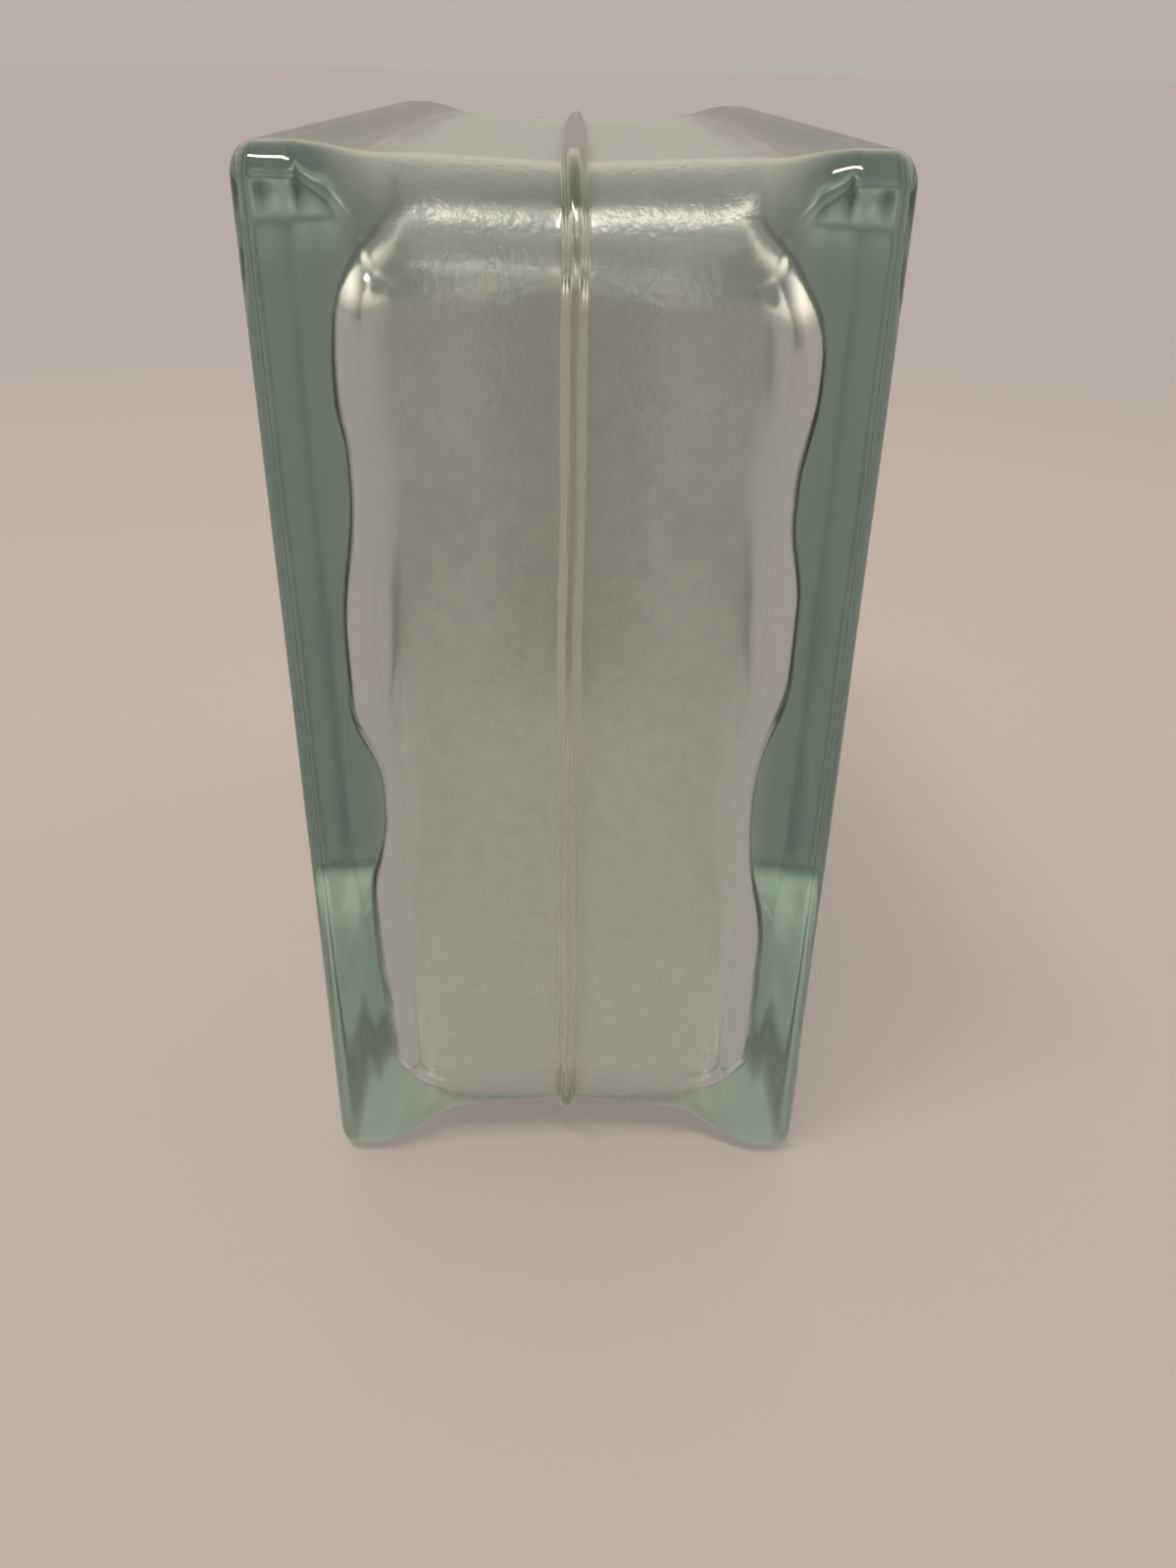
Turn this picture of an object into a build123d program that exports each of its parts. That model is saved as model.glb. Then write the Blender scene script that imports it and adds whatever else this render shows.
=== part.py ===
from build123d import *
import os

# Hollow glass building block: two like pressed glass half shells, fused rim to rim into one sealed piece.
# It stands on one edge. X runs through the wall from face to face, Y along the course, Z up.
# The origin is under the middle of the block, on the plane of its two lower feet. Lengths are in millimetres.

# Overall size of the fused block
face_size = 196.85  # side of each square face, 7 3/4 in
block_width = 98.425  # from face to face, 3 7/8 in

# Rim round each face: its flat outer land is the foot that the block stands on
rim_width = 9.2  # from the face to where the shoulder starts
rim_corner = 5.5  # corner radius of the square face
face_edge_round = 4.0  # rounding between the face and the foot

# Mortar key: the shallow channel round the block, from the rims' shoulders in to the seam
shoulder_run = 19.2  # along X, from the rim to the web
key_depth = 2.4  # of the web below the foot, where the shoulder meets it
key_depth_at_seam = 3.4  # of the web below the foot, beside the seam bead
web_corner = 17.4  # corner radius of the web beside the shoulder
web_corner_at_seam = 17.8  # corner radius of the web at the seam
# The shoulder's S curve, from the web to the rim: share of the run, share of the key depth that is left,
# and share of the web's extra corner radius that is left
shoulder_shares = (
    (0.0, 1.0, 1.0),
    (0.18, 0.93, 0.95),
    (0.33, 0.89, 0.78),
    (0.48, 0.81, 0.47),
    (0.66, 0.52, 0.24),
    (0.81, 0.23, 0.12),
    (0.93, 0.05, 0.04),
    (1.0, 0.0, 0.0),
)

# Seam bead: glass squeezed out where the two rims were fused
bead_width = 3.4
bead_height = 2.1
bead_round = 0.9

# Sealed cavity, pressed into each half by a plunger
wall_at_seam = 5.5  # thickness of the side wall at the seam
face_thickness = 8.4  # of the glass behind the face, at the mean level of the ripples
cavity_round = 13.0  # rounding of the floor and the end walls into each other and into the other walls

# Ripples on the inner side of each face: a high and a low crest of thick glass that run along Y, between troughs
trough_depth = 1.95  # of a trough below the mean level
high_crest = 1.95  # height of the lower of the two crests above the mean level
low_crest = 0.85  # height of the upper crest
lower_trough_run = 37.0  # flat, from the lower wall to where the first crest starts to rise
upper_trough_run = 19.7  # flat, from where the last crest has fallen to the upper wall

half_face = face_size / 2
half_width = block_width / 2
rim_start = half_width - rim_width
web_end = rim_start - shoulder_run
web_size_at_seam = face_size - 2 * key_depth_at_seam
cavity_size = web_size_at_seam - 2 * wall_at_seam
bead_root = wall_at_seam / 2
bead_size = web_size_at_seam + 2 * bead_height
root_size = web_size_at_seam - 2 * bead_root
cavity_half = cavity_size / 2
floor_mean = half_width - face_thickness
trough_floor = floor_mean + trough_depth
ripple_run = cavity_size - lower_trough_run - upper_trough_run
ripple_heights = high_crest + low_crest + 2 * trough_depth


def section_plane(distance):
    """Plane across the block at a distance from the seam along X, centred on the block, looking along +X."""
    return Plane(origin=(distance, 0, half_face), x_dir=(0, 1, 0), z_dir=(1, 0, 0))


def ripple_chord(height):
    """Length between the ends of an arc that rises to a height, so that all arcs meet at the same slope."""
    return ripple_run * height / ripple_heights


# Outside of one half: square sections of changing size and corner radius, from the seam out to the face
shoulder_sections = [
    (
        web_end + shoulder_run * run_share,
        face_size - 2 * key_depth * depth_share,
        rim_corner + (web_corner - rim_corner) * corner_share,
    )
    for run_share, depth_share, corner_share in shoulder_shares
]
with BuildPart() as half_outside:
    for distance, size, corner in (
        (0, web_size_at_seam, web_corner_at_seam),
        *shoulder_sections,
        (half_width, face_size, rim_corner),
    ):
        with BuildSketch(section_plane(distance)):
            RectangleRounded(size, size, corner)
    loft(ruled=True)
    fillet(half_outside.faces().sort_by(Axis.X)[-1].edges(), radius=face_edge_round)

# Cavity of one half: the plunger's profile across the ripples, carried along Y and rounded at both ends.
# The ripples are arcs, in turn crest and trough. The outer troughs run on flat to the upper and lower walls.
ripples = [(high_crest, 1), (trough_depth, -1), (low_crest, 1)]
lower_flat = (trough_floor, half_face - cavity_half + lower_trough_run)
upper_flat = (trough_floor, half_face + cavity_half - upper_trough_run)
first_rise = lower_flat[1] + ripple_chord(trough_depth) / 2
last_fall = upper_flat[1] - ripple_chord(trough_depth) / 2
with BuildPart() as half_cavity:
    with BuildSketch(Plane.XZ) as plunger_profile:
        with BuildLine():
            place = first_rise
            for height, side in ripples:
                end = place + ripple_chord(height)
                SagittaArc((floor_mean, place), (floor_mean, end), side * height)
                place = end
            TangentArc(lower_flat, (floor_mean, first_rise), tangent=(0, 1))
            TangentArc(upper_flat, (floor_mean, last_fall), tangent=(0, -1))
            Polyline(upper_flat, (trough_floor, face_size), (0, face_size), (0, 0), (trough_floor, 0), lower_flat)
        make_face()
        with Locations((0, half_face)):
            Rectangle(block_width, cavity_size, mode=Mode.INTERSECT)
        for row in (0, -1):
            corner = plunger_profile.vertices().group_by(Axis.Y)[row].sort_by(Axis.X)[-1]
            fillet(corner, radius=cavity_round)
    extrude(amount=cavity_half, both=True)
    seam_face = half_cavity.faces().sort_by(Axis.X)[0]
    end_edges = [edge for end in half_cavity.faces().filter_by(Axis.Y) for edge in end.edges()]
    fillet([edge for edge in end_edges if edge not in seam_face.edges()], radius=cavity_round)

# Bead of glass round the seam, rooted in the side walls
with BuildPart() as seam_bead:
    with BuildSketch(section_plane(0)):
        RectangleRounded(bead_size, bead_size, web_corner_at_seam + bead_height)
        RectangleRounded(root_size, root_size, web_corner_at_seam - bead_root, mode=Mode.SUBTRACT)
    extrude(amount=bead_width / 2, both=True)
    bead_ends = seam_bead.faces().filter_by(Axis.X)
    fillet([edge for end in bead_ends for edge in end.outer_wire().edges()], radius=bead_round)

# The fused block: the second half is the same pressing, turned to face the first
with BuildPart() as glass_block:
    for turn in (0, 180):
        add(half_outside.part, rotation=(0, 0, turn))
    add(seam_bead.part)
    for turn in (0, 180):
        add(half_cavity.part, rotation=(0, 0, turn), mode=Mode.SUBTRACT)

glass_block.part.label = "glass_block"
os.makedirs("parts", exist_ok=True)
export_step(glass_block.part, "parts/glass_block.step")
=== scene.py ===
"""Hollow glass wall block on a pale studio floor: its visual mesh, finishes, light and camera."""
import logging
from dataclasses import dataclass
from enum import Enum, IntEnum
from math import cos, pi, radians, sin
from typing import Any

import bmesh
import bpy
import numpy as np
from mathutils import Matrix, Vector


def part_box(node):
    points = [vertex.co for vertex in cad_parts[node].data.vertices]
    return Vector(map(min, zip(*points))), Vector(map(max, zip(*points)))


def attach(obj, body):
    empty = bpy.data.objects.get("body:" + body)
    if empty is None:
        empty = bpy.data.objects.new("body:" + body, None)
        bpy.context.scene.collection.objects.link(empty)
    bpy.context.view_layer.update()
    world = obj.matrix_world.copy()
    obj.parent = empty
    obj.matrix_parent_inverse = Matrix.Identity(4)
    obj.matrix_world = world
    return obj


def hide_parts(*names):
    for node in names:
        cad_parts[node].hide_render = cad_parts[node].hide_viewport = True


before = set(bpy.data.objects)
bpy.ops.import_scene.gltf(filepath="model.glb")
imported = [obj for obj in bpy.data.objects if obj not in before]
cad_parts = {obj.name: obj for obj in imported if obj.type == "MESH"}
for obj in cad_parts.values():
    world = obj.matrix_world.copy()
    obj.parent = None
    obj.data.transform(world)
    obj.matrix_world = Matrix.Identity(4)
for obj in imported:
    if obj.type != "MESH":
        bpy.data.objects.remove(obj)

LOG = logging.getLogger("glass_block")
NODE = "glass_block"
BODY = "root"
COAT_ATTRIBUTE = "bond_coat"
INNER_ATTRIBUTE = "inner_side"
RUBBED_ATTRIBUTE = "rubbed_edge"
SEAM_ATTRIBUTE = "fused_seam"
MM = 0.001
# Points closer than this, in metres, are one point
WELD_M = 1e-6
# Most values of a noise texture lie between these two
NOISE_SPAN = (0.25, 0.75)
# Number of the Mix node's colour output
RESULT_COLOUR = 2
# Light that runs along a plate is reflected many times before it leaves the glass
MAX_BOUNCES = 14
GLOSSY_BOUNCES = 12
TRANSMISSION_BOUNCES = 14


class Facing(Enum):
    """Which way the faces of a ring surface point."""

    OUTWARD = 1
    INWARD = -1


class MixSocket(IntEnum):
    """Numbers of the Mix node's inputs, several of which share a name."""

    FACTOR = 0
    FIRST_VALUE = 2
    SECOND_VALUE = 3
    FIRST_COLOUR = 6
    SECOND_COLOUR = 7


def linear(hex_colour: str) -> tuple[float, float, float, float]:
    """Turns an sRGB hex colour into linear red, green, blue and full alpha.

    Args:
        hex_colour: Six hex digits after a #.

    Returns:
        The linear colour that a node socket takes.
    """
    coded = np.array([int(hex_colour[place:place + 2], 16) for place in (1, 3, 5)]) / 255
    low, high = coded / 12.92, ((coded + 0.055) / 1.055) ** 2.4
    red, green, blue = np.where(coded <= 0.04045, low, high)
    return float(red), float(green), float(blue), 1.0


def add_node(
    tree: bpy.types.NodeTree,
    kind: str,
    inputs: dict[str | int, Any] | None = None,
    **settings: Any,
) -> bpy.types.Node:
    """Adds a node, gives it its settings, and sets or links its inputs.

    Args:
        tree: The node tree that gets the node.
        kind: Blender's name of the node type.
        inputs: Input names or numbers, each with a value or with the socket to link from.
        settings: Properties of the node itself.

    Returns:
        The new node.
    """
    node = tree.nodes.new(kind)
    for name, value in settings.items():
        setattr(node, name, value)
    for key, value in (inputs or {}).items():
        if isinstance(value, bpy.types.NodeSocket):
            tree.links.new(value, node.inputs[key])
        else:
            node.inputs[key].default_value = value
    return node


def smooth_through(knots: np.ndarray, values: np.ndarray, places: np.ndarray) -> np.ndarray:
    """Monotone cubic curve through given points.

    Each knot's slope is the harmonic mean of the chords beside it, or zero where they differ in sign.
    The first slope is zero, and the last is that of the last chord.
    Between two knots the curve is the cubic with those end slopes.

    Args:
        knots: Rising places of the given points.
        values: Values at the knots.
        places: Where the curve is read.

    Returns:
        The curve's values at the places.
    """
    step = np.diff(knots)
    chord = np.diff(values) / step
    before, after = chord[:-1], chord[1:]
    same_sign = before * after > 0
    total = np.where(same_sign, before + after, 1.0)
    inner = np.where(same_sign, 2 * before * after / total, 0.0)
    slope = np.concatenate(([0.0], inner, chord[-1:]))
    index = np.clip(np.searchsorted(knots, places, side="right") - 1, 0, len(step) - 1)
    share = (places - knots[index]) / step[index]
    rise = values[index + 1] - values[index]
    start_turn = slope[index] * step[index] * share * (1 - share) ** 2
    end_turn = slope[index + 1] * step[index] * share ** 2 * (share - 1)
    return values[index] + rise * share ** 2 * (3 - 2 * share) + start_turn + end_turn


@dataclass(frozen=True)
class SquareOutline:
    """Square with rounded corners, as points that any half side and corner radius can scale."""

    corner_steps: int
    edge_steps: int
    support_share: float = 0.004

    def arrays(self) -> tuple[np.ndarray, np.ndarray]:
        """Works out the two unit arrays of the outline.

        A point of the outline is (half side - radius) * centre + radius * normal. Round a corner the
        centre stays and the normal turns by a right angle. Along an edge the normal stays and the
        centre runs straight to the next corner, with a support point close to each end.

        Returns:
            The centres and the normals, each with one (y, z) row for every point, anticlockwise.
        """
        quarter = np.arange(4)[:, None] * pi / 2
        turn = quarter + np.linspace(0, pi / 2, self.corner_steps + 1)[None, :]
        along = np.linspace(0, 1, self.edge_steps + 1)[1:-1]
        along = np.concatenate(([self.support_share], along, [1 - self.support_share]))
        signs = np.array([(1, 1), (-1, 1), (-1, -1), (1, -1)], float)
        following = np.roll(signs, -1, axis=0)
        corner_centre = np.repeat(signs[:, None, :], self.corner_steps + 1, axis=1)
        edge_centre = signs[:, None, :] + along[None, :, None] * (following - signs)[:, None, :]
        corner_normal = np.stack((np.cos(turn), np.sin(turn)), axis=-1)
        edge_normal = np.repeat(corner_normal[:, -1:, :], len(along), axis=1)
        centre = np.concatenate((corner_centre, edge_centre), axis=1).reshape(-1, 2)
        normal = np.concatenate((corner_normal, edge_normal), axis=1).reshape(-1, 2)
        return centre, normal


def ring_faces(rings: int, around: int, facing: Facing, first: int) -> list[tuple[int, ...]]:
    """Faces of a closed surface made of rings, with a pole before the first ring and one after the last.

    Args:
        rings: Number of rings.
        around: Number of points in each ring.
        facing: Which way the faces point.
        first: Number of the surface's first point, its first pole.

    Returns:
        Quads between the rings and triangles at the poles.
    """
    ring = np.arange(rings - 1)[:, None] * around
    here = np.arange(around)[None, :]
    there = (here + 1) % around
    start = first + 1
    quads = np.stack((ring + here, ring + there, ring + around + there, ring + around + here), axis=-1)
    quads = quads.reshape(-1, 4) + start
    last_ring = start + (rings - 1) * around
    last_pole = start + rings * around
    low = np.stack((np.full(around, first), start + there[0], start + here[0]), axis=-1)
    high = np.stack((np.full(around, last_pole), last_ring + here[0], last_ring + there[0]), axis=-1)
    faces = [quads, low, high]
    if facing is Facing.INWARD:
        faces = [part[:, ::-1] for part in faces]
    return [tuple(face) for part in faces for face in part.tolist()]


def new_piece(name: str, points: np.ndarray, faces: list[tuple[int, ...]]) -> bpy.types.Object:
    """Makes a smooth-shaded mesh object at the origin.

    Args:
        name: Name of the object and its mesh.
        points: Points in metres, one row each.
        faces: Point numbers of each face.

    Returns:
        The object, linked to the scene.
    """
    mesh = bpy.data.meshes.new(name)
    mesh.from_pydata(points.tolist(), [], faces)
    mesh.polygons.foreach_set("use_smooth", np.ones(len(mesh.polygons), bool))
    mesh.update()
    piece = bpy.data.objects.new(name, mesh)
    bpy.context.scene.collection.objects.link(piece)
    return piece


def weld(mesh: bpy.types.Mesh) -> None:
    """Merges points at the same place, and drops the faces that vanish with them.

    Args:
        mesh: The mesh, whose attributes are kept.
    """
    work = bmesh.new()
    work.from_mesh(mesh)
    bmesh.ops.remove_doubles(work, verts=work.verts, dist=WELD_M)
    work.to_mesh(mesh)
    work.free()
    mesh.update()


@dataclass(frozen=True)
class PressedGlass:
    """Soda-lime glass, pressed hot in an iron mould: clear, glossy, and green through its depth.

    The tint is iron in the melt. It hardly shows through a wall 6 mm thick, and turns the plates
    sea green where the eye looks along 200 mm of them. The plunger left the inner sides a little
    dull. The underside and the far edge are rubbed, and the fused seam is faintly yellow.
    """

    ior: float = 1.52
    roughness: float = 0.015
    inner_roughness: float = 0.13
    rubbed_roughness: float = 0.4
    clear_colour: str = "#FFFFFF"
    seam_colour: str = "#F3EDDC"
    depth_colour: str = "#A8CBBF"
    absorption_per_m: float = 8.0


@dataclass(frozen=True)
class BondCoat:
    """Edge coat that helps mortar hold: a thin sprayed film, whitish and grainy, that light still passes.

    Painted light and shade set its density and colour by height: high on the upright edges it is
    drawn greyer and more see-through as painted shade, low on them whiter and denser as painted light,
    and on the level top denser as painted shade that holds back the light from above. It drained from
    the lower rounding. Its grit is too fine to show, so it is drawn coarser.
    """

    # Colour and share of light held back, high on the upright edges (painted shade) and low on them (painted
    # light)
    painted_shade_coat_colour: str = "#CAD2D1"
    painted_light_coat_colour: str = "#E6F0E0"
    least_painted_cover: float = 0.24
    most_painted_cover: float = 0.62
    roughness: float = 0.262
    mottle_mm: float = 4.0
    mottle_octaves: float = 4.0
    mottle_share: float = 0.26
    grain_mm: float = 1.5
    grain_octaves: float = 2.0
    grain_height_mm: float = 0.15
    edge_mm: float = 9.0
    edge_octaves: float = 1.0
    edge_shares: tuple[float, float] = (0.97, 1.5)
    # Heights of the painted light and shade
    painted_light_low_m: tuple[float, float] = (0.19, 0.02)
    painted_shade_top_m: tuple[float, float] = (0.186, 0.192)
    painted_shade_top_share: float = 0.3
    drained_m: tuple[float, float] = (0.032, 0.019)
    drained_share: float = 0.35


@dataclass(frozen=True)
class CoatedGlass:
    """Finish of the whole block: pressed glass, with the bond coat wherever the coat attribute is high."""

    glass: PressedGlass
    coat: BondCoat

    def material(self) -> bpy.types.Material:
        """Builds the node tree.

        The mask is the coat's reach, made uneven at its edge and thinned where the film drained. It
        mixes the glass's roughness and colour with the film's. How much light the film holds back is
        painted by height: less high on the upright edges, more low on them and on the level top. Its
        colour is painted shade, greyer, high up and painted light, whiter, low down, mottled by noise of
        real sizes, and its raised grain comes from noise too.

        Returns:
            The finished material.
        """
        coat, glass = self.coat, self.glass
        material = bpy.data.materials.new("soda_lime_glass_pressed")
        material.use_nodes = True
        tree = material.node_tree
        tree.nodes.clear()
        place = add_node(tree, "ShaderNodeTexCoord").outputs["Object"]
        height = add_node(tree, "ShaderNodeSeparateXYZ", {0: place}).outputs["Z"]
        reach, inner, rubbed, seam = (
            add_node(tree, "ShaderNodeAttribute", attribute_name=name).outputs["Fac"]
            for name in (COAT_ATTRIBUTE, INNER_ATTRIBUTE, RUBBED_ATTRIBUTE, SEAM_ATTRIBUTE)
        )
        waver, mottle, grain = (
            add_node(
                tree,
                "ShaderNodeTexNoise",
                {"Vector": place, "Scale": 1 / (size_mm * MM), "Detail": octaves},
            ).outputs[0]
            for size_mm, octaves in (
                (coat.edge_mm, coat.edge_octaves),
                (coat.mottle_mm, coat.mottle_octaves),
                (coat.grain_mm, coat.grain_octaves),
            )
        )
        low, high = NOISE_SPAN

        least, most = coat.edge_shares
        wavering = add_node(
            tree,
            "ShaderNodeMapRange",
            {"Value": waver, "From Min": low, "From Max": high, "To Min": least, "To Max": most},
        ).outputs[0]
        sprayed = add_node(
            tree, "ShaderNodeMath", {0: reach, 1: wavering}, operation="MULTIPLY", use_clamp=True
        ).outputs[0]
        full, drained = coat.drained_m
        left = add_node(
            tree,
            "ShaderNodeMapRange",
            {
                "Value": height,
                "From Min": full,
                "From Max": drained,
                "To Min": 1.0,
                "To Max": coat.drained_share,
            },
        ).outputs[0]
        mask = add_node(tree, "ShaderNodeMath", {0: sprayed, 1: left}, operation="MULTIPLY").outputs[0]

        # Painted light and shade: 0 high on the upright edges and 1 low on them, so the coat is greyer and
        # clearer above and whiter and denser below
        top, bottom = coat.painted_light_low_m
        painted_light_low = add_node(
            tree, "ShaderNodeMapRange", {"Value": height, "From Min": top, "From Max": bottom}
        ).outputs[0]
        # Painted shade: the coat is denser on the level top, to hold back the light from above
        upright, level = coat.painted_shade_top_m
        painted_shade_top = add_node(
            tree,
            "ShaderNodeMapRange",
            {"Value": height, "From Min": upright, "From Max": level, "To Max": coat.painted_shade_top_share},
        ).outputs[0]
        painted_density = add_node(tree, "ShaderNodeMath", {0: painted_light_low, 1: painted_shade_top}, operation="MAXIMUM").outputs[0]
        cover = add_node(
            tree,
            "ShaderNodeMapRange",
            {"Value": painted_density, "To Min": coat.least_painted_cover, "To Max": coat.most_painted_cover},
        ).outputs[0]
        hidden = add_node(tree, "ShaderNodeMath", {0: cover, 1: mask}, operation="MULTIPLY").outputs[0]
        passing = add_node(tree, "ShaderNodeMath", {0: 1.0, 1: hidden}, operation="SUBTRACT").outputs[0]

        pressed = add_node(
            tree,
            "ShaderNodeMapRange",
            {"Value": inner, "To Min": glass.roughness, "To Max": glass.inner_roughness},
        ).outputs[0]
        bare = add_node(
            tree,
            "ShaderNodeMix",
            {
                MixSocket.FACTOR: rubbed,
                MixSocket.FIRST_VALUE: pressed,
                MixSocket.SECOND_VALUE: glass.rubbed_roughness,
            },
            data_type="FLOAT",
        ).outputs[0]
        roughness = add_node(
            tree,
            "ShaderNodeMix",
            {MixSocket.FACTOR: mask, MixSocket.FIRST_VALUE: bare, MixSocket.SECOND_VALUE: coat.roughness},
            data_type="FLOAT",
        ).outputs[0]

        blotch = add_node(
            tree,
            "ShaderNodeMapRange",
            {
                "Value": mottle,
                "From Min": low,
                "From Max": high,
                "To Min": -coat.mottle_share,
                "To Max": coat.mottle_share,
            },
        ).outputs[0]
        # The coat's colour: painted shade high up, painted light low down, with random mottle
        painted_light_and_mottle = add_node(
            tree, "ShaderNodeMath", {0: painted_light_low, 1: blotch}, operation="ADD", use_clamp=True
        ).outputs[0]
        painted_coat_colour, glass_colour = (
            add_node(
                tree,
                "ShaderNodeMix",
                {
                    MixSocket.FACTOR: share,
                    MixSocket.FIRST_COLOUR: linear(first),
                    MixSocket.SECOND_COLOUR: linear(second),
                },
                data_type="RGBA",
            ).outputs[RESULT_COLOUR]
            for share, first, second in (
                (painted_light_and_mottle, coat.painted_shade_coat_colour, coat.painted_light_coat_colour),
                (seam, glass.clear_colour, glass.seam_colour),
            )
        )
        colour = add_node(
            tree,
            "ShaderNodeMix",
            {
                MixSocket.FACTOR: mask,
                MixSocket.FIRST_COLOUR: glass_colour,
                MixSocket.SECOND_COLOUR: painted_coat_colour,
            },
            data_type="RGBA",
        ).outputs[RESULT_COLOUR]

        raised = add_node(tree, "ShaderNodeMath", {0: reach, 1: reach}, operation="MULTIPLY").outputs[0]
        relief = add_node(tree, "ShaderNodeMath", {0: grain, 1: raised}, operation="MULTIPLY").outputs[0]
        grainy = add_node(
            tree,
            "ShaderNodeBump",
            {"Height": relief, "Strength": 1.0, "Distance": coat.grain_height_mm * MM},
        ).outputs[0]
        shader = add_node(
            tree,
            "ShaderNodeBsdfPrincipled",
            {
                "Base Color": colour,
                "Roughness": roughness,
                "IOR": glass.ior,
                "Transmission Weight": passing,
                "Normal": grainy,
            },
        )
        depth = add_node(
            tree,
            "ShaderNodeVolumeAbsorption",
            {"Color": linear(glass.depth_colour), "Density": glass.absorption_per_m},
        )
        add_node(
            tree,
            "ShaderNodeOutputMaterial",
            {"Surface": shader.outputs[0], "Volume": depth.outputs[0]},
        )
        return material


@dataclass
class GlassBlock:
    """The fused block, one mesh: the outside with its mortar key and bead, and the sealed cavity.

    Lengths are in millimetres. A row of a ripple table is where a crest or trough starts to be level,
    where it ends, and its height. A row of the bead's waves is the waves in one lap of the seam, the
    share of the wander and the phase. A field that ends in steps is how many points the mesh takes
    along that stretch.
    """

    face_size: float
    block_width: float
    rim_width: float = 9.2
    rim_corner: float = 5.5
    face_edge_round: float = 4.0
    shoulder_run: float = 19.2
    key_depth: float = 2.4
    key_depth_at_seam: float = 3.4
    web_corner: float = 17.4
    web_corner_at_seam: float = 17.8
    bead_width: float = 3.4
    bead_height: float = 2.1
    bead_root_round: float = 0.7
    bead_tip_share: float = 0.8
    bead_flank_share: float = 0.92
    bead_flank_rise: float = 1.4
    bead_wander: float = 0.22
    bead_waves: tuple[tuple[float, float, float], ...] = ((7.0, 1.0, 0.6), (17.0, 0.6, 2.1))
    wall_at_seam: float = 5.5
    face_thickness: float = 8.4
    upper_wall_extra: float = 3.0
    cavity_round: float = 13.0
    ripple_reach: float = 22.0
    ripple_fade: float = 30.0
    ripple_rest: float = 0.08
    coat_edge: float = 30.0
    coat_fade: float = 14.0
    rubbed_depth: float = 4.0
    bead_coat: float = 0.2
    face_ring_shares: tuple[float, ...] = (0.995, 0.94, 0.8, 0.6, 0.4, 0.2, 0.05)
    wall_reach_share: float = 0.985
    bead_steps: int = 9
    hollow_steps: int = 6
    web_steps: int = 8
    shoulder_steps: int = 26
    foot_steps: int = 6
    edge_round_steps: int = 11
    cavity_round_steps: int = 19
    floor_steps: int = 38
    wall_steps: int = 9
    shoulder_shares: tuple[tuple[float, float, float], ...] = (
        (0.0, 1.0, 1.0),
        (0.18, 0.93, 0.95),
        (0.33, 0.89, 0.78),
        (0.48, 0.81, 0.47),
        (0.66, 0.52, 0.24),
        (0.81, 0.23, 0.12),
        (1.0, 0.0, 0.0),
    )
    near_ripples: tuple[tuple[float, float, float], ...] = (
        (8.0, 20.0, -0.8),
        (36.0, 48.0, -1.0),
        (80.0, 85.0, 3.1),
        (112.0, 124.0, -1.3),
        (140.0, 145.0, 0.6),
        (162.0, 166.0, -1.3),
        (180.0, 190.0, 1.2),
    )
    far_ripples: tuple[tuple[float, float, float], ...] = (
        (8.0, 24.0, 0.6),
        (52.0, 62.0, -0.5),
        (81.0, 86.0, 2.8),
        (103.5, 116.0, -1.4),
        (145.0, 150.0, 1.3),
        (159.0, 163.0, 0.4),
        (180.0, 190.0, 1.6),
    )

    def build(self) -> bpy.types.Object:
        """Joins the outside and the cavity into one piece, with the attributes that its finish reads.

        Returns:
            The piece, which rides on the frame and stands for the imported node.
        """
        outside, outside_faces, coat = self.outside()
        cavity, cavity_faces = self.cavity(len(outside))
        points = np.concatenate((outside, cavity)) * MM
        piece = new_piece(NODE + "_visual", points, outside_faces + cavity_faces)
        from_edge = np.minimum(outside[:, 2], self.face_size / 2 - outside[:, 1])
        bead_sides = (self.bead_width / 2, self.bead_width)
        for attribute, outer, inner in (
            (COAT_ATTRIBUTE, coat, 0.0),
            (INNER_ATTRIBUTE, np.zeros(len(outside)), 1.0),
            (RUBBED_ATTRIBUTE, np.clip(2 - 2 * from_edge / self.rubbed_depth, 0, 1), 0.0),
            (SEAM_ATTRIBUTE, np.interp(np.abs(outside[:, 0]), bead_sides, (1.0, 0.0)), 0.0),
        ):
            values = np.concatenate((outer, np.full(len(cavity), inner))).astype(np.float32)
            piece.data.attributes.new(attribute, "FLOAT", "POINT").data.foreach_set("value", values)
        weld(piece.data)
        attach(piece, BODY)
        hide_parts(NODE)
        return piece

    def dress(self, piece: bpy.types.Object, finish: CoatedGlass) -> None:
        """Gives the piece its finish."""
        piece.data.materials.append(finish.material())

    def half_profile(self) -> tuple[np.ndarray, np.ndarray, np.ndarray]:
        """Profile of the outside from the seam to the face.

        The bead is a rounded fin on a concave root, the web a straight taper, the shoulder a smooth
        curve through its shares, the foot flat and the face's edge a quarter circle.

        Returns:
            Distance from the seam, half side and corner radius at each step.
        """
        half = self.face_size / 2
        half_width = self.block_width / 2
        rim_start = half_width - self.rim_width
        web_end = rim_start - self.shoulder_run
        web_slope = (self.key_depth_at_seam - self.key_depth) / web_end
        bead_half = self.bead_width / 2
        root = self.bead_root_round
        bead_end = bead_half + root

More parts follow.
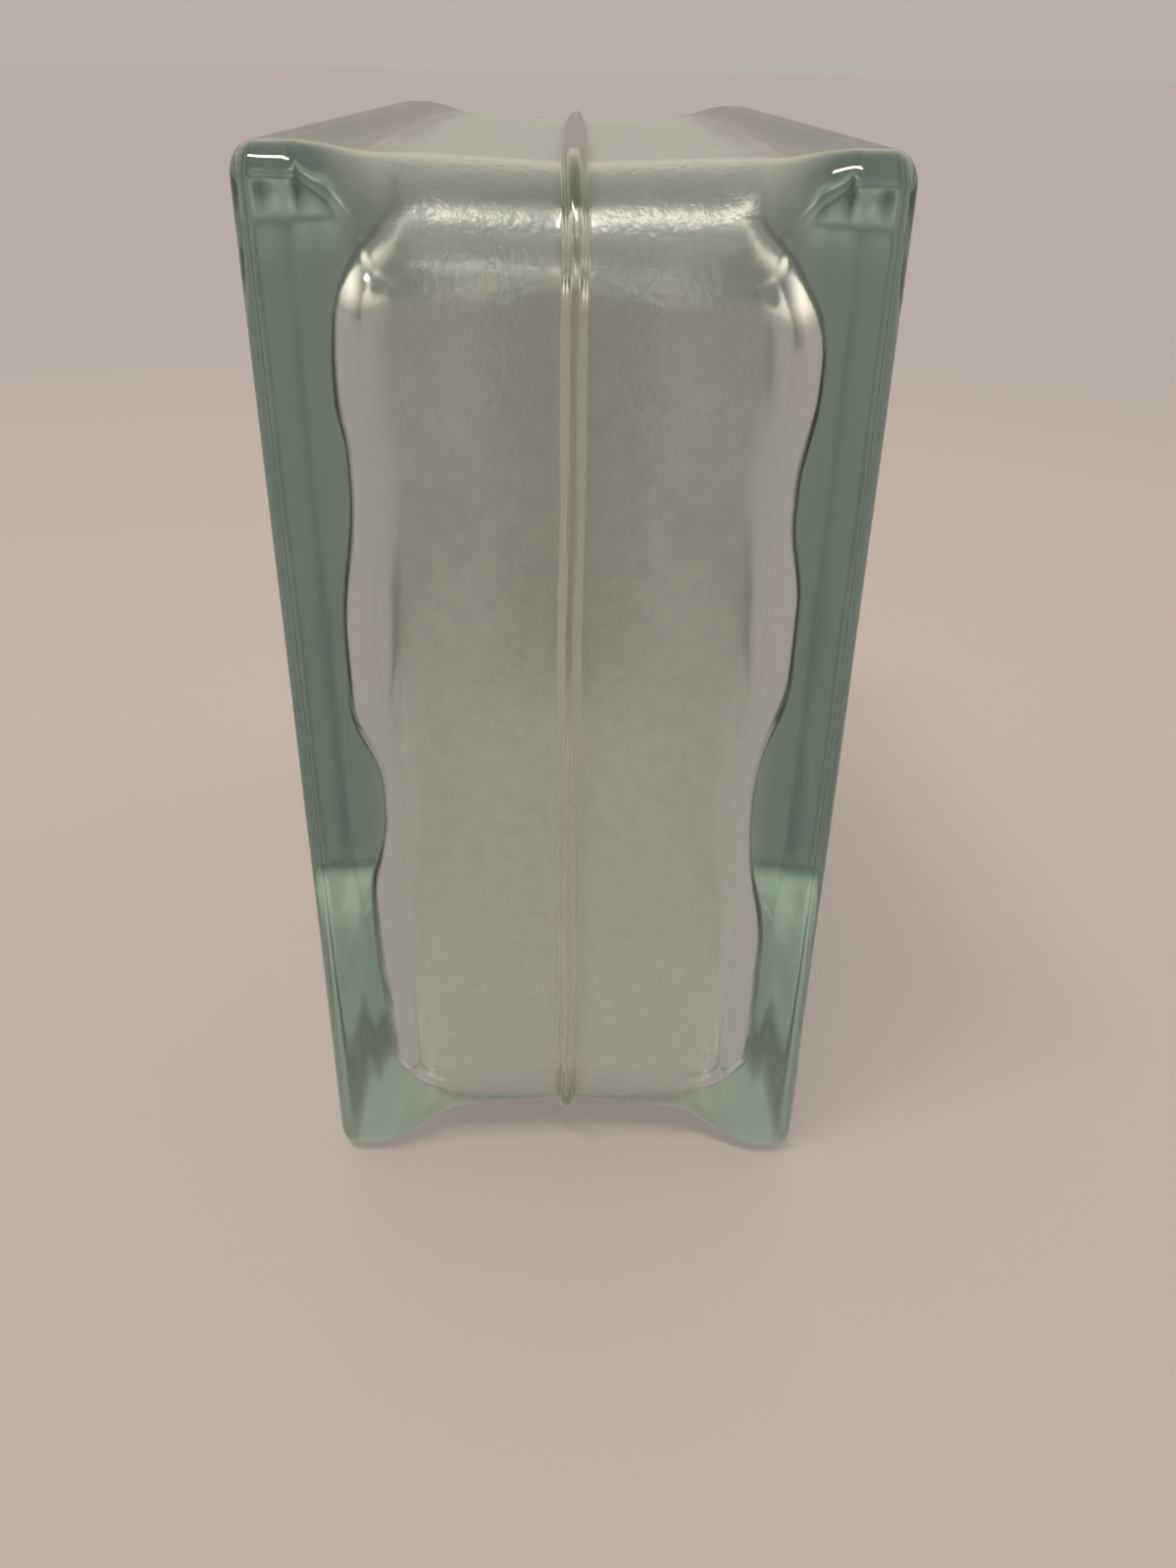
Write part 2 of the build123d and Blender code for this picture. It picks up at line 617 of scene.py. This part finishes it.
        top = np.linspace(0, pi / 2, self.bead_steps)
        tip = bead_half * self.bead_tip_share
        tip_fall = tip * self.bead_tip_share * (1 - np.cos(top))
        flank = bead_half * self.bead_flank_share
        fin_x = np.concatenate((tip * np.sin(top), [flank, bead_half]))
        fin_rise = np.concatenate((self.bead_height - tip_fall, [root * self.bead_flank_rise, root]))
        hollow = np.linspace(0, pi / 2, self.hollow_steps)[1:]
        hollow_x = bead_half + root * (1 - np.cos(hollow))
        hollow_rise = root * (1 - np.sin(hollow))
        bead_x = np.concatenate((fin_x, hollow_x))
        bead_rise = np.concatenate((fin_rise, hollow_rise))
        web_at_bead = half - self.key_depth_at_seam + web_slope * bead_x
        bead_corner = self.web_corner_at_seam + bead_rise

        web_x = np.linspace(bead_end, web_end, self.web_steps)[1:-1]
        web_half = half - self.key_depth_at_seam + web_slope * web_x
        web_corner = np.interp(web_x, (0, web_end), (self.web_corner_at_seam, self.web_corner))

        shares = np.array(self.shoulder_shares)
        painted_light_low = np.linspace(0, 1, self.shoulder_steps)
        depth_share = smooth_through(shares[:, 0], shares[:, 1], painted_light_low)
        corner_share = smooth_through(shares[:, 0], shares[:, 2], painted_light_low)
        shoulder_x = web_end + self.shoulder_run * painted_light_low
        shoulder_half = half - self.key_depth * depth_share
        shoulder_corner = self.rim_corner + (self.web_corner - self.rim_corner) * corner_share

        edge = self.face_edge_round
        foot_x = np.linspace(rim_start, half_width - edge, self.foot_steps)[1:-1]
        turn = np.linspace(0, pi / 2, self.edge_round_steps)
        round_x = half_width - edge + edge * np.sin(turn)
        round_in = edge * (1 - np.cos(turn))

        face_half = (half - edge) * np.array(self.face_ring_shares)
        face_corner = (self.rim_corner - edge) * face_half / (half - edge)
        distance = np.concatenate(
            (bead_x, web_x, shoulder_x, foot_x, round_x, np.full(len(face_half), half_width))
        )
        side = np.concatenate(
            (
                web_at_bead + bead_rise,
                web_half,
                shoulder_half,
                np.full(len(foot_x), half),
                half - round_in,
                face_half,
            )
        )
        corner = np.concatenate(
            (
                bead_corner,
                web_corner,
                shoulder_corner,
                np.full(len(foot_x), self.rim_corner),
                self.rim_corner - round_in,
                face_corner,
            )
        )
        return distance, side, corner

    def outside(self) -> tuple[np.ndarray, list[tuple[int, ...]], np.ndarray]:
        """Outside of the block: the half profile and its mirror image, carried round the square outline.

        Near the seam the rings sway along X by two slow sine waves, as squeezed glass does. The coat's
        reach falls evenly from the web to the shoulder, and it is low on the bead.

        Returns:
            The points, the faces and the coat's reach at each point.
        """
        distance, side, corner = self.half_profile()
        along = np.concatenate((-distance[:0:-1], distance))
        half_side = np.concatenate((side[:0:-1], side))
        radius = np.concatenate((corner[:0:-1], corner))
        centre, normal = SquareOutline(corner_steps=14, edge_steps=46).arrays()
        flat = (half_side - radius)[:, None, None] * centre + radius[:, None, None] * normal
        lap = np.linspace(0, 2 * pi, len(centre), endpoint=False)
        waves, share, phase = np.array(self.bead_waves).T[..., None]
        sway = self.bead_wander * (share * np.sin(waves * lap + phase)).sum(axis=0)
        near_seam = np.exp(-((along / self.bead_width) ** 2))
        x = along[:, None] + near_seam[:, None] * sway[None, :]
        middle = self.face_size / 2
        half_width = self.block_width / 2
        rings = np.stack((x, flat[..., 0], flat[..., 1] + middle), axis=-1)
        poles = np.array(((-half_width, 0, middle), (half_width, 0, middle)))
        points = np.concatenate((poles[:1], rings.reshape(-1, 3), poles[1:]))
        reach = np.abs(points[:, 0])
        coat = np.clip((self.coat_edge - reach) / self.coat_fade + 0.5, 0, 1)
        coat *= np.interp(reach, (self.bead_width / 2, self.bead_width), (self.bead_coat, 1.0))
        return points, ring_faces(len(along), len(centre), Facing.OUTWARD, 0), coat

    def ripple(self, y: np.ndarray, z: np.ndarray) -> np.ndarray:
        """Height of the ripples on the inner side of a face above their mean level.

        A row of a ripple table is one crest or trough, level from its first place to its second. The
        step s to the next row follows 3s^2 - 2s^3. The rows change evenly from the near end of the
        right half to its far end. The ripples are full at both ends and fade to a rest between them.

        Args:
            y: Places along the block.
            z: Places above the feet.

        Returns:
            The height of the glass towards the seam.
        """
        near, far = np.array(self.near_ripples), np.array(self.far_ripples)
        share = np.clip(y / self.cavity_side() + 0.5, 0, 1)[..., None, None]
        rows = near + share * (far - near)
        knots = rows[..., :2].reshape(*y.shape, -1)
        heights = np.repeat(rows[..., 2], 2, axis=-1)
        index = np.clip((z[..., None] >= knots).sum(axis=-1) - 1, 0, knots.shape[-1] - 2)
        pair = np.stack((index, index + 1), axis=-1)
        start, end = np.moveaxis(np.take_along_axis(knots, pair, -1), -1, 0)
        from_height, to_height = np.moveaxis(np.take_along_axis(heights, pair, -1), -1, 0)
        step = np.clip((z - start) / (end - start), 0, 1)
        height = from_height + (to_height - from_height) * step ** 2 * (3 - 2 * step)
        inward = self.cavity_side() / 2 - np.abs(y) - self.ripple_reach
        fade = np.clip(inward / self.ripple_fade, 0, 1)
        return height * (1 - (1 - self.ripple_rest) * fade ** 2 * (3 - 2 * fade))

    def cavity_side(self) -> float:
        """Side of the cavity's square section."""
        return self.face_size - 2 * (self.key_depth_at_seam + self.wall_at_seam)

    def cavity(self, first: int) -> tuple[np.ndarray, list[tuple[int, ...]]]:
        """Sealed cavity: straight walls, a rounding into each floor, and the two rippled floors.

        The square is drawn down evenly from its lower wall, which leaves the upper wall thicker.
        The rounding moves each wall point in by r(1 - cos) and leaves it r(1 - sin) short of the floor.
        The floor's rings shrink to the middle, and every point takes the ripple's height.

        Args:
            first: Number of the cavity's first point in the joined mesh.

        Returns:
            The points and the faces, which point into the cavity.
        """
        half = self.cavity_side() / 2
        mean = self.block_width / 2 - self.face_thickness
        corner = self.cavity_round
        bottom = self.face_size / 2 - half
        draw = 1 - self.upper_wall_extra / (2 * half)
        centre, normal = SquareOutline(corner_steps=12, edge_steps=64).arrays()

        turn = np.linspace(0, pi / 2, self.cavity_round_steps)[:, None]
        bend = (half - corner) * centre + corner * np.cos(turn)[..., None] * normal
        short = np.broadcast_to(corner * (1 - np.sin(turn)), bend.shape[:2])
        shrink = np.linspace(1, 0, self.floor_steps)[1:-1]
        floor = shrink[:, None, None] * bend[-1]
        flat = np.concatenate((bend, floor))
        gap = np.concatenate((short, np.zeros(floor.shape[:2])))

        shells = []
        for side in (-1, 1):
            y = side * flat[..., 0]
            z = bottom + draw * (flat[..., 1] + half)
            x = side * (mean - self.ripple(y, z) - gap)
            shells.append(np.stack((x, flat[..., 0], z), axis=-1))
        across = np.linspace(-self.wall_reach_share, self.wall_reach_share, self.wall_steps)[:, None]
        edge_x = np.where(across < 0, -shells[0][0, :, 0], shells[1][0, :, 0])
        wall_flat = (half - corner) * centre + corner * normal
        wall = np.empty((self.wall_steps, len(centre), 3))
        wall[..., 0] = across * edge_x
        wall[..., 1] = wall_flat[:, 0]
        wall[..., 2] = bottom + draw * (wall_flat[:, 1] + half)
        rings = np.concatenate((shells[0][::-1], wall, shells[1]))
        middle = np.array([bottom + draw * half])
        depth = mean - self.ripple(np.zeros(1), middle)
        poles = np.array(((-depth[0], 0, middle[0]), (depth[0], 0, middle[0])))
        points = np.concatenate((poles[:1], rings.reshape(-1, 3), poles[1:]))
        return points, ring_faces(len(rings), len(centre), Facing.INWARD, first)


@dataclass(frozen=True)
class StagePaper:
    """Matt off-white paper, a little warm: it shows light and shade round the block, and none further off."""

    colour: str = "#C8BEB7"
    backdrop_colour: str = "#B7ADA6"
    roughness: float = 0.9
    specular_level: float = 0.2
    near_glow: float = 0.45
    glass_level: float = 0.79
    fade_m: tuple[float, float] = (0.3, 1.1)

    def material(self) -> bpy.types.Material:
        """Builds the paper: a matt shader that fades into a plain glow for rays that show the background.

        Returns:
            The finished material.
        """
        material = bpy.data.materials.new("matt_paper")
        material.use_nodes = True
        tree = material.node_tree
        tree.nodes.clear()
        paper = add_node(
            tree,
            "ShaderNodeBsdfPrincipled",
            {
                "Base Color": linear(self.colour),
                "Roughness": self.roughness,
                "Specular IOR Level": self.specular_level,
            },
        )
        ray = add_node(tree, "ShaderNodeLightPath").outputs
        level = add_node(
            tree,
            "ShaderNodeMapRange",
            {"Value": ray["Is Camera Ray"], "To Min": self.glass_level, "To Max": 1.0},
        ).outputs[0]
        backdrop = add_node(
            tree, "ShaderNodeEmission", {"Color": linear(self.backdrop_colour), "Strength": level}
        )
        place = add_node(tree, "ShaderNodeTexCoord").outputs["Object"]
        distance = add_node(tree, "ShaderNodeVectorMath", {0: place}, operation="LENGTH").outputs["Value"]
        near, far = self.fade_m
        away = add_node(
            tree,
            "ShaderNodeMapRange",
            {"Value": distance, "From Min": near, "From Max": far, "To Min": self.near_glow},
            interpolation_type="SMOOTHSTEP",
        ).outputs[0]
        mirrored = add_node(
            tree,
            "ShaderNodeMath",
            {0: ray["Is Glossy Ray"], 1: ray["Is Transmission Ray"]},
            operation="MAXIMUM",
        ).outputs[0]
        seen = add_node(
            tree, "ShaderNodeMath", {0: away, 1: ray["Is Camera Ray"]}, operation="MULTIPLY"
        ).outputs[0]
        fade = add_node(tree, "ShaderNodeMath", {0: seen, 1: mirrored}, operation="MAXIMUM").outputs[0]
        surface = add_node(
            tree, "ShaderNodeMixShader", {0: fade, 1: paper.outputs[0], 2: backdrop.outputs[0]}
        )
        add_node(tree, "ShaderNodeOutputMaterial", {"Surface": surface.outputs[0]})
        return material


@dataclass
class Stage:
    """Round studio floor that runs out to the horizon. In metres."""

    radius: float = 30.0
    inner_radius: float = 0.05
    drop: float = 0.0002
    rings: int = 14
    around: int = 96

    def build(self) -> bpy.types.Object:
        """Makes the floor as rings whose radius grows by a constant factor, flat and just under the feet.

        Returns:
            The floor.
        """
        radius = np.geomspace(self.inner_radius, self.radius, self.rings)
        lap = np.linspace(0, 2 * pi, self.around, endpoint=False)
        x = radius[:, None] * np.cos(lap)
        y = radius[:, None] * np.sin(lap)
        rings = np.stack((x, y, np.full(x.shape, -self.drop)), axis=-1).reshape(-1, 3)
        points = np.concatenate((((0, 0, -self.drop),), rings))
        ring = np.arange(self.rings - 1)[:, None] * self.around + 1
        wider = ring + self.around
        here = np.arange(self.around)[None, :]
        there = (here + 1) % self.around
        quads = np.stack((ring + here, wider + here, wider + there, ring + there), axis=-1)
        middle = np.stack((np.zeros(self.around, int), 1 + here[0], 1 + there[0]), axis=-1)
        faces = [tuple(face) for face in quads.reshape(-1, 4).tolist() + middle.tolist()]
        floor = new_piece("studio_floor", points, faces)
        floor.data.materials.append(StagePaper().material())
        return floor


@dataclass(frozen=True)
class StudioLight:
    """Pale studio walls that brighten upwards, a dimmer ceiling, a dark side and one long lamp overhead.

    Rises are heights of a direction's unit vector. The camera sees a plain backdrop instead.
    """

    backdrop_colour: str = "#B7B0AB"
    wall_colour: str = "#A69D96"
    high_wall_colour: str = "#FFF3DF"
    high_wall_strength: float = 1.5
    high_wall_rise: tuple[float, float] = (0.05, 0.55)
    ceiling_colour: str = "#D8D2CC"
    ceiling_rise: tuple[float, float] = (0.55, 0.95)
    dark_colour: str = "#3A3836"
    dark_elevation: float = 25.0
    dark_spread: tuple[float, float] = (-0.25, 0.85)
    lamp_colour: str = "#FFF6EA"
    lamp_power: float = 40.0
    lamp_length: float = 1.5
    lamp_breadth: float = 0.32
    lamp_distance: float = 2.5
    lamp_direction: tuple[float, float, float] = (-0.2, -0.33, 0.94)
    aim_height: float = 0.19

    def build(self) -> None:
        """Adds the studio as the world and the lamp as an area light."""
        world = bpy.data.worlds.new("studio")
        world.use_nodes = True
        tree = world.node_tree
        tree.nodes.clear()
        direction = add_node(tree, "ShaderNodeTexCoord").outputs["Generated"]
        height = add_node(tree, "ShaderNodeSeparateXYZ", {0: direction}).outputs["Z"]
        upper, above = (
            add_node(
                tree,
                "ShaderNodeMapRange",
                {"Value": height, "From Min": low, "From Max": high},
                interpolation_type="SMOOTHSTEP",
            ).outputs[0]
            for low, high in (self.high_wall_rise, self.ceiling_rise)
        )
        dark_axis = (0.0, -cos(radians(self.dark_elevation)), sin(radians(self.dark_elevation)))
        facing = add_node(
            tree, "ShaderNodeVectorMath", {0: direction, 1: dark_axis}, operation="DOT_PRODUCT"
        ).outputs["Value"]
        far, near = self.dark_spread
        dark = add_node(
            tree,
            "ShaderNodeMapRange",
            {"Value": facing, "From Min": far, "From Max": near},
            interpolation_type="SMOOTHSTEP",
        ).outputs[0]
        walls, high_walls, ceiling, shade, backdrop = (
            add_node(
                tree, "ShaderNodeBackground", {"Color": linear(colour), "Strength": strength}
            ).outputs[0]
            for colour, strength in (
                (self.wall_colour, 1.0),
                (self.high_wall_colour, self.high_wall_strength),
                (self.ceiling_colour, 1.0),
                (self.dark_colour, 1.0),
                (self.backdrop_colour, 1.0),
            )
        )
        seen = add_node(tree, "ShaderNodeLightPath").outputs["Is Camera Ray"]
        view = walls
        for share, surface in ((upper, high_walls), (above, ceiling), (dark, shade), (seen, backdrop)):
            view = add_node(tree, "ShaderNodeMixShader", {0: share, 1: view, 2: surface}).outputs[0]
        add_node(tree, "ShaderNodeOutputWorld", {"Surface": view})
        bpy.context.scene.world = world
        data = bpy.data.lights.new("long_lamp", "AREA")
        data.shape = "RECTANGLE"
        data.size = self.lamp_length
        data.size_y = self.lamp_breadth
        data.energy = self.lamp_power
        data.color = linear(self.lamp_colour)[:3]
        lamp = bpy.data.objects.new("long_lamp", data)
        towards = Vector(self.lamp_direction).normalized()
        lamp.location = Vector((0, 0, self.aim_height)) + towards * self.lamp_distance
        lamp.rotation_euler = towards.to_track_quat("Z", "Y").to_euler()
        bpy.context.scene.collection.objects.link(lamp)


@dataclass(frozen=True)
class PhotoCamera:
    """Pinhole camera at the photograph's viewpoint, looking down at one edge of the block."""

    place_mm: tuple[float, float, float] = (-0.03, -290.43, 207.01)
    pitch_down: float = 30.42
    yaw: float = 0.99
    roll: float = 1.0
    focal_px: float = 1256.3
    long_side_px: float = 1599.0
    sensor_mm: float = 36.0
    clip_start: float = 0.01

    def build(self) -> bpy.types.Object:
        """Adds the camera and makes it the scene's own.

        Returns:
            The camera object.
        """
        pitch, yaw, roll = radians(self.pitch_down), radians(self.yaw), radians(self.roll)
        forward = Vector((sin(yaw) * cos(pitch), cos(yaw) * cos(pitch), -sin(pitch)))
        level_right = Vector((cos(yaw), -sin(yaw), 0))
        level_up = level_right.cross(forward)
        right = cos(roll) * level_right + sin(roll) * level_up
        up = -sin(roll) * level_right + cos(roll) * level_up
        data = bpy.data.cameras.new("photo_camera")
        data.sensor_width = self.sensor_mm
        data.lens = self.focal_px / self.long_side_px * self.sensor_mm
        data.clip_start = self.clip_start
        camera = bpy.data.objects.new("photo_camera", data)
        turn = Matrix((right, up, -forward)).transposed().to_4x4()
        camera.matrix_world = Matrix.Translation(Vector(self.place_mm) * MM) @ turn
        bpy.context.scene.collection.objects.link(camera)
        bpy.context.scene.camera = camera
        return camera


def main() -> None:
    """Builds the block, its stage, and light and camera."""
    logging.basicConfig(level=logging.INFO, format="%(name)s: %(message)s")
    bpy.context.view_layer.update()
    lowest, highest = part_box(NODE)
    block = GlassBlock(face_size=(highest.z - lowest.z) / MM, block_width=(highest.x - lowest.x) / MM)
    piece = block.build()
    block.dress(piece, CoatedGlass(PressedGlass(), BondCoat()))
    LOG.info("%s: %d faces", piece.name, len(piece.data.polygons))
    floor = Stage().build()
    LOG.info("%s: %d faces", floor.name, len(floor.data.polygons))
    StudioLight().build()
    camera = PhotoCamera().build()
    LOG.info("%s: lens %.2f mm", camera.name, camera.data.lens)
    scene = bpy.context.scene
    scene.view_settings.view_transform = "Standard"
    scene.cycles.max_bounces = MAX_BOUNCES
    scene.cycles.glossy_bounces = GLOSSY_BOUNCES
    scene.cycles.transmission_bounces = TRANSMISSION_BOUNCES
    bpy.context.view_layer.update()


if __name__ == "__main__":
    main()
